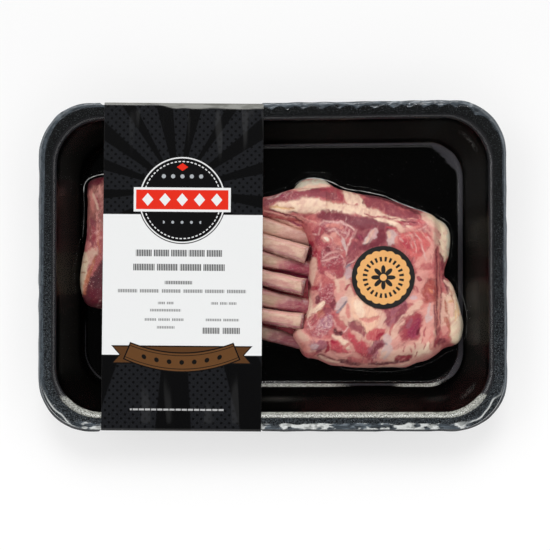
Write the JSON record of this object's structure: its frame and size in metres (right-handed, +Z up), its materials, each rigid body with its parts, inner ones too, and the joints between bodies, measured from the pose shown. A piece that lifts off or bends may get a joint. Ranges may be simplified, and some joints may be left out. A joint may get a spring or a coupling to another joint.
{
  "type": "rack of lamb skin pack",
  "caption": "Vacuum skin pack of lamb racks: deep black tray, clear film drawn over the meat and rib bones, a printed band round the tray and a round seal.",
  "frame": {"origin": "middle of the pack's footprint, on the surface it rests on", "axes": "+X along the tray's long side, from the banded end to the open end; +Y towards the pack's back edge, where the racks' fat cap lies; +Z up"},
  "size_m": [0.2602, 0.1856, 0.0321],
  "materials": {
    "tray": "black foamed plastic, fine speckle on the rim, smooth and glossy inside",
    "meat": "raw lamb, moist red lean with cream fat and white connective threads",
    "bone": "scraped rib bone, beige with pink blood stains, satin",
    "film": "clear skin film, glossy",
    "band": "coated printed band, black with rays and dots, white middle field, glossy",
    "seal": "round paper sticker, tan with a black ring, satin"
  },
  "bodies": {
    "root": {"tray": "tray", "rack_right": "meat", "rack_left": "meat", "rib_right_1": "bone", "rib_right_2": "bone", "rib_right_3": "bone", "rib_right_4": "bone", "rib_left_1": "bone", "rib_left_2": "bone", "rib_left_3": "bone", "film": "film", "band": "band", "seal": "seal"}
  },
  "joints": []
}
